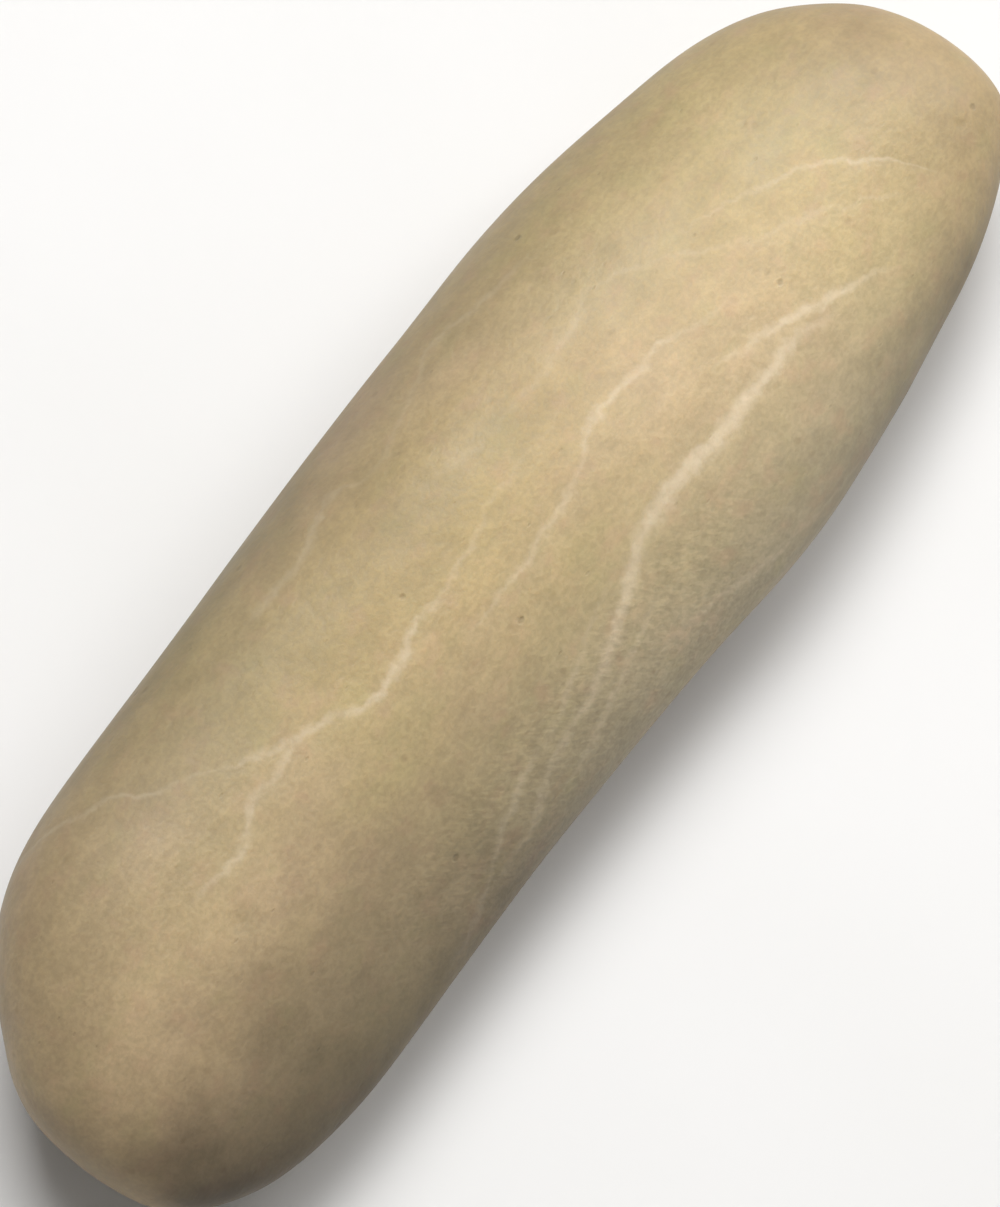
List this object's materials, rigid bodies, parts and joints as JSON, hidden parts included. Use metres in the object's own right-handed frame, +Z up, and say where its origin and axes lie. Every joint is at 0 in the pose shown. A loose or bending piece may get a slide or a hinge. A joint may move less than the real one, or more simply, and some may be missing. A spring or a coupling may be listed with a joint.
{
  "type": "bone folder",
  "caption": "Palm-sized bone folder: a plump, hand-rubbed piece of bone with a thick blunt heel and a thinner rounded tip, for creasing and smoothing paper.",
  "frame": {"origin": "middle of the outer box, seen from above, on the flat face the folder rests on", "axes": "+X runs from the thick heel to the thin tip, +Z is up, away from the resting face, and +Y is across the width"},
  "size_m": [0.108, 0.034, 0.02],
  "materials": {
    "bone": "satin"
  },
  "bodies": {
    "root": {"folder_body": "bone"}
  },
  "joints": []
}
